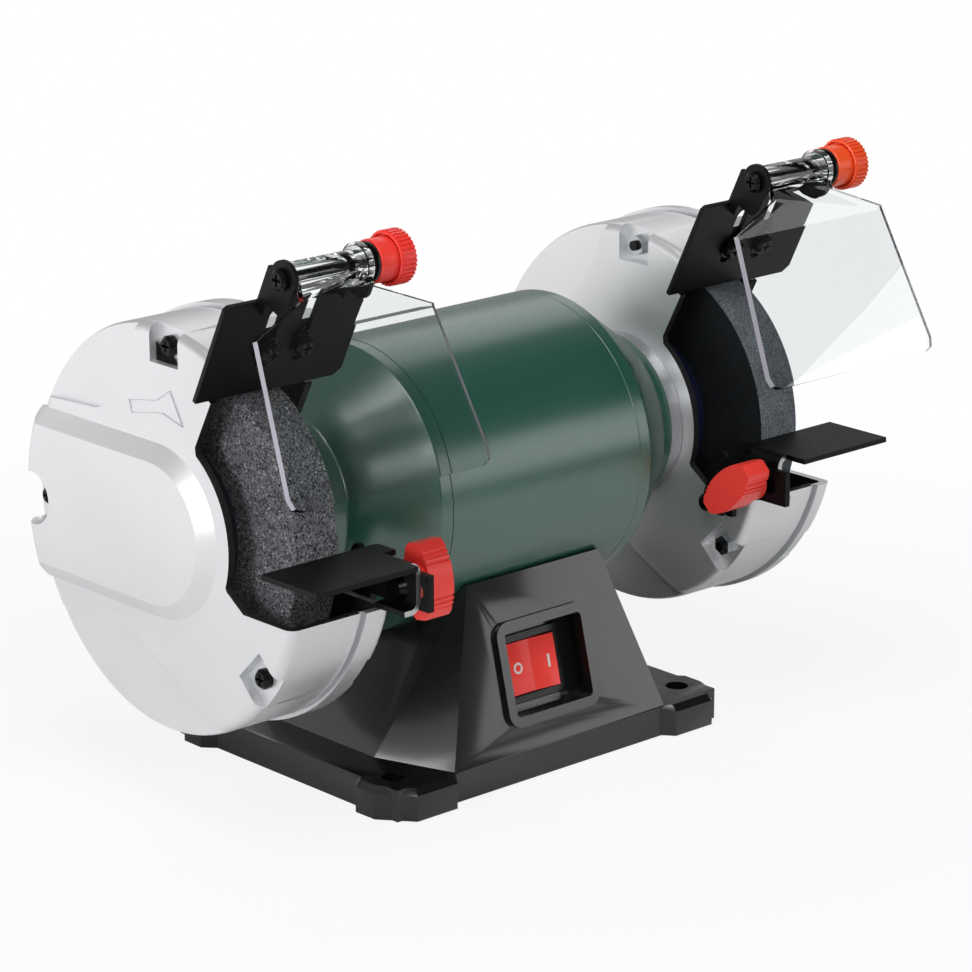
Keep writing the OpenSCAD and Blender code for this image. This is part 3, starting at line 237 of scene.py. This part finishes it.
def abrasive(name, tones, grit_mm, bump):
    finish, tree = new_finish(name)
    place = add(tree, "TexCoord").outputs["Object"]
    grains = add(tree, "TexVoronoi", {"Vector": place, "Scale": per_metre(grit_mm)})
    ramp = add(tree, "ValToRGB", {"Fac": grains.outputs["Color"]})
    steps = ramp.color_ramp
    steps.interpolation = "CONSTANT"
    steps.elements[0].color = hex_colour(tones[0])
    steps.elements[1].color = hex_colour(tones[-1])
    steps.elements[1].position = PALE_FROM
    middle_tones = tones[1:-1]
    for i, tone in enumerate(middle_tones):
        made = steps.elements.new(MIDDLE_FROM + MIDDLE_SPAN * i / len(middle_tones))
        made.color = hex_colour(tone)
    cloud = add(tree, "TexNoise", {"Vector": place, "Scale": per_metre(CLOUD_MM), "Detail": 3.0})
    dusty = add(tree, "MapRange", {"Value": cloud.outputs["Fac"], "From Min": 0.35, "From Max": 0.65,
                                   "To Min": 0.82, "To Max": 1.1})
    toned = add(tree, "Mix", {"Factor": 1.0}, data_type="RGBA", blend_type="MULTIPLY")
    tree.links.new(ramp.outputs["Color"], toned.inputs[MIX_A])
    tree.links.new(dusty.outputs["Result"], toned.inputs[MIX_B])
    relief = add(tree, "Bump", {"Height": grains.outputs["Distance"], "Strength": 1.0, "Distance": bump * MM})
    shader = add(tree, "BsdfPrincipled", {"Base Color": toned.outputs[MIX_RESULT],
                                          "Normal": relief.outputs["Normal"]})
    shader.inputs["Roughness"].default_value = 0.8
    shader.inputs["Specular IOR Level"].default_value = 0.35
    add(tree, "OutputMaterial", {"Surface": shader.outputs["BSDF"]})
    return finish


# Dressed face of the coarse wheel: pale grains, a few dark ones.
grit_coarse = abrasive("corundum_coarse", ["#1e1e20", "#4c4d50", "#7e7f83", "#b6b7ba"], 0.6, 0.2)
# Its untouched sides are a little darker.
grit_coarse_side = abrasive("corundum_coarse_side", ["#1a1a1c", "#414245", "#6c6d71", "#9c9da0"], 0.6, 0.2)
# The fine wheel is bluer and more even, so it looks smoother.
grit_fine = abrasive("corundum_fine", ["#4a5158", "#646b72", "#7b8187", "#9aa0a4"], 0.45, 0.12)
# Its sides are painted nearly black as the shade that falls inside the guard, so only the dressed rim stands
# out.
grit_fine_side_painted_shade = abrasive("corundum_fine_side_painted_shade", ["#06090c", "#0a0e12", "#0f151a", "#1a2228"], 0.45, 0.1)
# Blotter paper: matt, dark grey on one wheel and deep blue on the other.
paper_dark = coated("blotter_paper_dark", "#2c2f36", "#26292f", 0.5, 0.01, 0.7)
paper_blue = coated("blotter_paper_blue", "#131c48", "#101842", 0.5, 0.01, 0.55)
print("abrasives made")

# %% [markdown]
# The eye shields are moulded clear polycarbonate. It is glass-like, so it needs real thickness and rounded
# edges, which catch the light as thin bright and dark lines. Flow marks make its roughness wander a little.

# %% Clear plastic
# width of the flow marks in millimetres
FLOW_MM = 25


def clear_plastic(name):
    finish, tree = new_finish(name)
    place = add(tree, "TexCoord").outputs["Object"]
    flow = add(tree, "TexNoise", {"Vector": place, "Scale": per_metre(FLOW_MM), "Detail": 1.0})
    film = add(tree, "MapRange", {"Value": flow.outputs["Fac"], "To Min": 0.0, "To Max": 0.006})
    shader = add(tree, "BsdfPrincipled", {"Roughness": film.outputs["Result"]})
    shader.inputs["Base Color"].default_value = hex_colour("#f4f7f7")
    shader.inputs["IOR"].default_value = 1.58
    shader.inputs["Transmission Weight"].default_value = 1.0
    add(tree, "OutputMaterial", {"Surface": shader.outputs["BSDF"]})
    return finish


# Polycarbonate: almost invisible face on, and drawn by what its edges bend.
polycarbonate = clear_plastic("moulded_polycarbonate_clear")
# Its sawn rim scatters light, so the sheet is drawn by a thin pale line.
sawn_rim = coated("sawn_polycarbonate_rim", "#b4b0bd", "#a5a3ac", 0.5, 0.01, 0.5)
print("clear plastic made")

# %% [markdown]
# Every engineered part takes the finish of its slot in the record. Parts that are replaced below keep it
# too.

# %% Paint the engineered parts
FINISH = {
    "black_paint": enamel_black, "black_sheet": powder_black, "green_paint": enamel_green,
    "green_cast": enamel_green, "silver_paint": paint_silver, "bare_steel": steel_bright,
    "black_screw": oxide_black, "zinc": zinc, "laminations": iron_stack, "copper": copper_wire,
    "grit_coarse": grit_coarse, "grit_fine": grit_fine, "label_dark": paper_dark, "label_blue": paper_blue,
    "clear": polycarbonate, "red_knob": abs_red, "orange_knob": abs_orange, "red_rocker": rocker_red,
    "black_plastic": abs_black, "pale_plastic": can_white,
}


def paint(thing, *finishes):
    thing.data.materials.clear()
    for finish in finishes:
        thing.data.materials.append(finish)


for name, part in nodes.items():
    paint(part, FINISH[slot_of_node[name]])
print("painted", len(nodes), "parts")

# %% [markdown]
# An engineered solid has knife edges. A casting, a bent sheet or a moulding has small rounds that catch the
# light. A copy of the part is merged, its flat faces are joined, and a Bevel modifier rounds what is still
# sharp. A test can send some of its faces to a second finish, such as a bright cut edge or the black painted
# shade inside a guard.
# It is told the face's middle, its direction, and how near the face comes to the shaft. The finishes are
# set before the faces are written back, because clearing a mesh's list of finishes also resets its faces.
# The outer covers are pressed more softly, so the gentle steps of their faces are rounded first.

# %% Crisp copies
# corners closer than this are one, and edges sharper than this are rounded
MERGE = 0.002 * MM
SHARP_ANGLE = math.radians(32)
# a pressed face's gentle edges: how much they bend, how far out they lie, their least length, and their round
RELIEF_ANGLES = (math.radians(18), math.radians(52))
RELIEF_X = 128.5 * MM
RELIEF_EDGE = 0.4 * MM
RELIEF_ROUND = 1.6 * MM


def soften_relief(form):
    """Round the gentle steps of a pressed face, such as the slope round the bulge."""
    least, most = RELIEF_ANGLES
    gentle = [e for e in form.edges if len(e.link_faces) == 2 and least < e.calc_face_angle(0) < most
              and max(abs(v.co.x) for v in e.verts) > RELIEF_X and e.calc_length() > RELIEF_EDGE]
    bmesh.ops.bevel(form, geom=gentle, offset=RELIEF_ROUND, offset_type="OFFSET", segments=3, profile=0.5,
                    affect="EDGES", clamp_overlap=True, material=-1)


def crisp(name, width_mm, second=None, chosen=None, soften=None, flat=0.6):
    """Stand a finished copy in for a node. Faces within flat degrees of each other are joined."""
    mesh = nodes[name].data.copy()
    piece = bpy.data.objects.new(name + ".finished", mesh)
    bpy.context.scene.collection.objects.link(piece)
    paint(piece, FINISH[slot_of_node[name]], *([second] if second else []))
    form = bmesh.new()
    form.from_mesh(mesh)
    bmesh.ops.remove_doubles(form, verts=form.verts, dist=MERGE)
    bmesh.ops.dissolve_limit(form, angle_limit=math.radians(flat), verts=form.verts, edges=form.edges)
    if soften:
        soften(form)
    count = 0
    for face in form.faces:
        face.smooth = True
        near = min(math.hypot(v.co.y / MM, v.co.z / MM - SHAFT_Z) for v in face.verts)
        if chosen and chosen(face.calc_center_median() / MM, face.normal, near):
            face.material_index = 1
            count += 1
    form.to_mesh(mesh)
    form.free()
    mesh.set_sharp_from_angle(angle=SHARP_ANGLE)
    round_edges = piece.modifiers.new("round_edges", "BEVEL")
    round_edges.width = width_mm * MM
    round_edges.segments = 3
    round_edges.limit_method = "ANGLE"
    round_edges.angle_limit = SHARP_ANGLE
    round_edges.harden_normals = True
    round_edges.miter_outer = "MITER_ARC"
    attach(piece, body_of_node[name])
    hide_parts(name)
    print(name, len(mesh.polygons), "faces,", count, "in the second finish")


# %% [markdown]
# The guards come in two shells each. Outside they are silver. Inside, and on the edges of the opening, they
# are painted black as shade, standing in for the dark inside of a guard. A face is inside when it lies deeper
# than the pressed face and doesn't look outwards. The pockets round the bolts, the lip where two shells meet
# and the rim stay silver.

# %% Guards
# each guard's lowest and highest x and outer radius, in millimetres, and the way it faces: -1 left, 1 right
GUARDS = {"outer_cover_left": (-139.5, -106.0, 76.5, -1), "inner_guard_left": (-106.0, -94.0, 78.0, 1),
          "inner_guard_right": (94.0, 127.5, 76.5, -1), "outer_cover_right": (127.5, 135.5, 78.0, 1)}
# middles of the three bolts round a guard, as y and z in millimetres
BOLTS = ((-4.8, 178.3), (-54.8, 66.2), (69.5, 106.6))
# the opening lies in front of this y and within this radius, and this far from a bolt
MOUTH_Y, MOUTH_RADIUS, MOUTH_CLEAR = -17, 72, 13
# the silver pocket round a bolt reaches this far
POCKET_RADIUS = 14
# the flat lip where two shells meet, the wall of the rim, and how deep the pressed face's steps reach
LIP_WIDTH, RIM_WALL, FACE_DEPTH = 4.6, 2, 4.4
# how much of a face's direction lies along x when it looks across, is turned, or looks squarely along x
ACROSS, TURNED, SQUARE = 0.2, 0.6, 0.9


def to_bolt(centre):
    return min(math.hypot(centre.y - y, centre.z - z) for y, z in BOLTS)


def in_mouth(centre, out):
    """True on the cut edge of a guard's opening, clear of the bolt pockets."""
    return centre.y < MOUTH_Y and out < MOUTH_RADIUS and to_bolt(centre) > MOUTH_CLEAR


def inside_of(name):
    left, right, radius, side = GUARDS[name]
    face_x = left if side < 0 else right

    def test(centre, normal, near):
        outwards = normal.x * side
        depth = (face_x - centre.x) * side
        out = math.hypot(centre.y, centre.z - SHAFT_Z)
        if abs(normal.x) < ACROSS and depth > 0.2 and in_mouth(centre, out):
            return True
        on_lip = near > radius - LIP_WIDTH and abs(normal.x) > SQUARE
        on_rim = near > radius - RIM_WALL
        if outwards > TURNED or on_lip or on_rim or to_bolt(centre) < POCKET_RADIUS:
            return False
        return depth > FACE_DEPTH or (outwards < -TURNED and depth > 1)

    return test


# the inside faces and the edges of the opening take black painted shade
for name in GUARDS:
    crisp(name, 0.6, guard_inside_painted_shade, inside_of(name), soften=soften_relief if "outer" in name else None)

# %% [markdown]
# The wheels are dressed on the rim, so their sides are darker, and the fine wheel's sides are painted nearly
# black besides, as painted shade inside its guard. The tool rests are sheared from sheet steel, and the front
# edge below the table is rubbed bright. The end caps end in a machined ring that is not painted, and the
# clear sheets have a sawn rim below the hinge. The cone of an end cap keeps nearly all its small faces,
# because joined ones would shade in streaks.

# %% Wheels, rests, end caps and clear sheets
# in millimetres: just below a rest's table, where an end cap's bare ring begins, and just below the hinges
REST_TOP = SHAFT_Z - 3
RING_X = 86.5
HINGE_Z = 196
# how far a wheel's side and a sheet's rim are turned towards x
SIDE_TURN, RIM_TURN = 0.7, 0.85


def side_face(centre, normal, near):
    return abs(normal.x) > SIDE_TURN


def cut_edge(centre, normal, near):
    return normal.y < -SQUARE and centre.z < REST_TOP


def machined_ring(centre, normal, near):
    return abs(centre.x) > RING_X


def sheet_rim(centre, normal, near):
    return abs(normal.x) > RIM_TURN and centre.z < HINGE_Z


crisp("wheel_left", 0.5, grit_coarse_side, side_face)
# the fine wheel's sides take painted shade: nearly black, for the dark inside of its guard
crisp("wheel_right", 0.5, grit_fine_side_painted_shade, side_face)
for side in SIDES:
    crisp("tool_rest_" + side, 0.25, steel_sheared, cut_edge)
    crisp("end_cap_" + side, 0.6, aluminium_bare, machined_ring, flat=0.03)
    crisp("eye_shield_" + side, 0.5, sawn_rim, sheet_rim)

# %% [markdown]
# The other rounded parts keep one finish each, and differ only in how round their edges are, in millimetres.

# %% Other rounded parts
ROUNDS = {"base_housing": 1.2, "motor_shell": 0.6, "cable_gland": 0.4, "switch_body": 0.3,
          "switch_rocker": 0.4}
PAIR_ROUNDS = {"spark_arrestor": 0.3, "rest_bracket": 0.3, "rest_knob": 0.5, "shield_knob": 0.25}
for name, width in ROUNDS.items():
    crisp(name, width)
for name, width in PAIR_ROUNDS.items():
    for side in SIDES:
        crisp(name + "_" + side, width)
print("rounded", len(ROUNDS), "parts and", len(PAIR_ROUNDS), "pairs")

# %% [markdown]
# The rocker carries a ring for off and a bar for on. Each is printed thickly in white: it is drawn flat,
# thickened, and then laid on its half of the rocker by a matrix that repeats the part's own tilt and pivot.

# %% Marks on the rocker
# the foot's front face leans back from the top of its skirt to the front edge of its saddle
FRONT_Y, SKIRT_Z = 64.2, 12.3
SADDLE_Y, SADDLE_Z = 48.2, 76.5
FACE_TILT = math.atan((FRONT_Y - SADDLE_Y) / (SADDLE_Z - SKIRT_Z))
# the rocker's pivot on that face, and how the switch is set at rest
WELL_X, WELL_UP, PIVOT_Y = -1.8, 29.0, 12.0
ROCKER_TILT = math.radians(6)
# the rocker's face is a shallow valley: where its middle lies from the pivot, and how far each end rises
VALLEY_Y, RISE, HALF_LENGTH = -4.4, 1.2, 12.2
SLOPE = math.atan(RISE / HALF_LENGTH)
# thickness of a mark, and how far its root is sunk into the rocker
MARK_T, SUNK = 0.12, 0.02
# sizes of the two marks, and how far each lies from the rocker's middle
RING_RADIUS, RING_WIDTH, RING_AT = 2.2, 0.85, -6.9
BAR_WIDTH, BAR_LENGTH, BAR_AT = 1.0, 5.0, 7.6

on_face = Matrix.Translation((0, -FRONT_Y * MM, SKIRT_Z * MM)) @ Matrix.Rotation(-FACE_TILT, 4, "X")
on_rocker = (on_face @ Matrix.Translation((WELL_X * MM, PIVOT_Y * MM, WELL_UP * MM))
             @ Matrix.Rotation(-ROCKER_TILT, 4, "Z"))


def link_piece(name, form, body, finish):
    """Make a drawn form a piece of the object."""
    bmesh.ops.recalc_face_normals(form, faces=form.faces)
    mesh = bpy.data.meshes.new(name)
    form.to_mesh(mesh)
    form.free()
    piece = bpy.data.objects.new(name, mesh)
    bpy.context.scene.collection.objects.link(piece)
    paint(piece, finish)
    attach(piece, body)
    print(name, len(mesh.polygons), "faces")


def hollow(form, width_mm):
    """Leave only a band of this width inside the outline of a drawing that is one face."""
    bmesh.ops.inset_region(form, faces=form.faces[:], thickness=width_mm * MM, use_even_offset=True,
                           use_boundary=True)
    bmesh.ops.delete(form, geom=[f for f in form.faces if len(f.verts) > 4], context="FACES")


def raise_by(form, shift):
    """Extrude a flat drawing into a thin plate."""
    grown = bmesh.ops.extrude_face_region(form, geom=form.faces[:])["geom"]
    bmesh.ops.translate(form, vec=shift, verts=[v for v in grown if isinstance(v, bmesh.types.BMVert)])


def rocker_mark(name, form, at_x):
    """Lay a mark, drawn flat in XY, on the rocker's face at this distance from its middle."""
    surface_y = VALLEY_Y - abs(at_x) * RISE / HALF_LENGTH
    slope = -math.copysign(SLOPE, at_x)
    place = (on_rocker @ Matrix.Translation((at_x * MM, (surface_y + SUNK) * MM, 0))
             @ Matrix.Rotation(slope, 4, "Z") @ Matrix.Rotation(math.radians(90), 4, "X"))
    bmesh.ops.transform(form, matrix=place, verts=form.verts)
    link_piece(name, form, "rocker", filler_white)


ring = bmesh.new()
bmesh.ops.create_circle(ring, cap_ends=True, segments=40, radius=RING_RADIUS * MM)
hollow(ring, RING_WIDTH)
raise_by(ring, (0, 0, MARK_T * MM))
rocker_mark("off_ring", ring, RING_AT)

bar = bmesh.new()
bmesh.ops.create_grid(bar, x_segments=1, y_segments=1, size=BAR_WIDTH * MM / 2)
bmesh.ops.scale(bar, vec=(1.0, BAR_LENGTH / BAR_WIDTH, 1), verts=bar.verts)
raise_by(bar, (0, 0, MARK_T * MM))
rocker_mark("on_bar", bar, BAR_AT)

# %% [markdown]
# The cover has a plain arrow that shows which way the wheel turns. It is a low moulded line, so the arrow's
# outline is drawn as one face, inset to a thin band, and the band is raised. A ray from the left finds the
# cover's face, and the band starts a little inside it, so no gap shows.

# %% Arrow on the left cover
# width of the line, how deep it starts inside the cover, and its height from there
LINE_WIDTH, LINE_ROOT, LINE_HEIGHT = 0.55, 0.2, 0.65
# where the ray meets the flat part of the cover, as y and height above the shaft
PROBE = (0.0, 46.0)
# the outline runs: tail, underside, tip, barb and back, as y and height above the shaft
ARROW = [(15.8, 46.1), (14.2, 41.4), (3.4, 43.8), (-3.7, 44.8), (-15.3, 42.0), (-8.1, 54.0), (-0.1, 48.8)]
cover = nodes["outer_cover_left"].data
surface = BVHTree.FromPolygons([v.co for v in cover.vertices], [p.vertices[:] for p in cover.polygons])
spot = surface.ray_cast(Vector((-0.2, PROBE[0] * MM, (SHAFT_Z + PROBE[1]) * MM)), Vector((1.0, 0.0, 0.0)))[0]
print("cover's face under the arrow at", round(spot.x / MM, 2), "mm")
arrow = bmesh.new()
corners = [arrow.verts.new((spot.x + LINE_ROOT * MM, y * MM, (SHAFT_Z + z) * MM)) for y, z in ARROW]
arrow.faces.new(corners)
hollow(arrow, LINE_WIDTH)
raise_by(arrow, (-LINE_HEIGHT * MM, 0, 0))
link_piece("turning_arrow", arrow, "frame", paint_silver)

# %% [markdown]
# The background has to be white for the camera, and for what it sees through the clear shields, yet not for
# the light that reflects off the machine. This small group of nodes tells those two kinds of ray apart.

# %% What the camera sees straight
WHITE = hex_colour("#ffffff")


def straight_view(tree):
    """One for the camera, also through clear plastic, but not after a bounce off something else."""
    sees = add(tree, "LightPath")
    bounced = add(tree, "Math", {0: sees.outputs["Diffuse Depth"], 1: sees.outputs["Glossy Depth"]},
                  operation="ADD")
    clean = add(tree, "Math", {0: bounced.outputs[0], 1: 0.5}, operation="LESS_THAN")
    through = add(tree, "Math", {0: sees.outputs["Is Transmission Ray"], 1: clean.outputs[0]},
                  operation="MULTIPLY")
    return add(tree, "Math", {0: sees.outputs["Is Camera Ray"], 1: through.outputs[0]}, operation="MAXIMUM")


# %% [markdown]
# The floor is a pale sheet. The camera sees it nearly white, and it still takes the soft shadow of the
# machine. It fades to pure white at its rim, so no edge shows.

# %% Floor
FLOOR_RADIUS = 0.62
FLOOR_DROP = 0.5 * MM
# the fade begins and ends at these distances from the machine's middle, in metres
FADE_FROM, FADE_TO = 0.2, 0.5


def floor_finish():
    finish, tree = new_finish("paper_floor")
    seen = straight_view(tree)
    sees = add(tree, "LightPath")
    lit = add(tree, "BsdfDiffuse", {"Color": hex_colour("#f2f2f2")})
    glow = add(tree, "Emission", {"Color": WHITE, "Strength": 1.0})
    place = add(tree, "TexCoord").outputs["Object"]
    far = add(tree, "VectorMath", {0: place}, operation="LENGTH")
    away = add(tree, "MapRange", {"Value": far.outputs["Value"], "From Min": FADE_FROM, "From Max": FADE_TO})
    gloss = add(tree, "Math", {0: sees.outputs["Is Glossy Ray"], 1: away.outputs["Result"]},
                operation="MULTIPLY")
    both = add(tree, "Math", {0: seen.outputs[0], 1: gloss.outputs[0]}, operation="MAXIMUM")
    fade = add(tree, "MapRange", {"Value": far.outputs["Value"], "From Min": FADE_FROM, "From Max": FADE_TO,
                                  "To Min": 0.86, "To Max": 1.0})
    part = add(tree, "Math", {0: both.outputs[0], 1: fade.outputs["Result"]}, operation="MULTIPLY")
    mix = add(tree, "MixShader", {0: part.outputs[0], 1: lit.outputs[0], 2: glow.outputs[0]})
    add(tree, "OutputMaterial", {"Surface": mix.outputs[0]})
    return finish


floor_mesh = bpy.data.meshes.new("floor")
sheet = bmesh.new()
bmesh.ops.create_circle(sheet, cap_ends=True, segments=64, radius=FLOOR_RADIUS)
bmesh.ops.translate(sheet, vec=(0, 0, -FLOOR_DROP), verts=sheet.verts)
sheet.to_mesh(floor_mesh)
sheet.free()
floor = bpy.data.objects.new("floor", floor_mesh)
bpy.context.scene.collection.objects.link(floor)
paint(floor, floor_finish())
print("floor radius", FLOOR_RADIUS, "m")

# %% [markdown]
# The room is a white studio whose far side glows and whose near side, behind the camera, is dim. Glossy
# metal then shows a bright side and a dark side, which is what makes it read as metal. The camera itself
# sees plain white.

# %% Room
# towards the bright paper behind and to the left, and a little down
BRIGHT_SIDE = (-0.5, 0.75, -0.43)
world = bpy.data.worlds.new("studio")
bpy.context.scene.world = world
world.use_nodes = True
sky = world.node_tree
sky.nodes.clear()
seen = straight_view(sky)
way = add(sky, "TexCoord").outputs["Generated"]
facing = add(sky, "VectorMath", {0: way, 1: BRIGHT_SIDE}, operation="DOT_PRODUCT")
slope = add(sky, "MapRange", {"Value": facing.outputs["Value"], "From Min": -0.8, "From Max": 0.6,
                              "To Min": 0.05, "To Max": 0.4})
lobe = add(sky, "MapRange", {"Value": facing.outputs["Value"], "From Min": 0.55, "From Max": 0.95,
                             "To Min": 0.0, "To Max": 0.7}, interpolation_type="SMOOTHSTEP")
room = add(sky, "Math", {0: slope.outputs["Result"], 1: lobe.outputs["Result"]}, operation="ADD")
camera_white = add(sky, "Math", {0: seen.outputs[0], 1: room.outputs[0]}, operation="MAXIMUM")
lit = add(sky, "Background", {"Color": WHITE, "Strength": camera_white.outputs[0]})
add(sky, "OutputWorld", {"Surface": lit.outputs[0]})
print("room made")

# %% [markdown]
# Five soft lamps finish the light: a large one overhead, one high at the back that lays a pale veil on the
# motor, a panel square to the covers, one beside the camera that fills in the colours, and a weak one at
# the front right that draws the highlight along the motor and the foot.

# %% Lamps
AIM = (0, 0, 0.1)


def softbox(name, place, width, watts):
    """A square lamp of this width in metres, facing the machine."""
    lamp = bpy.data.lights.new(name, "AREA")
    lamp.shape = "RECTANGLE"
    lamp.size = width
    lamp.size_y = width
    lamp.energy = watts
    thing = bpy.data.objects.new(name, lamp)
    bpy.context.scene.collection.objects.link(thing)
    way = Vector(AIM) - Vector(place)
    thing.matrix_world = Matrix.Translation(place) @ way.to_track_quat("-Z", "Y").to_matrix().to_4x4()


softbox("key_above", (-0.35, -0.45, 1.5), 0.8, 11)
softbox("back_high", (1.0, 0.9, 1.2), 1.0, 3)
softbox("left_panel", (-1.6, 0.05, 0.35), 0.6, 8)
softbox("camera_side", (-0.7, -1.6, 0.9), 0.6, 9)
softbox("front_right", (1.2, -1.35, 0.38), 0.7, 3.2)
print("lamps placed")
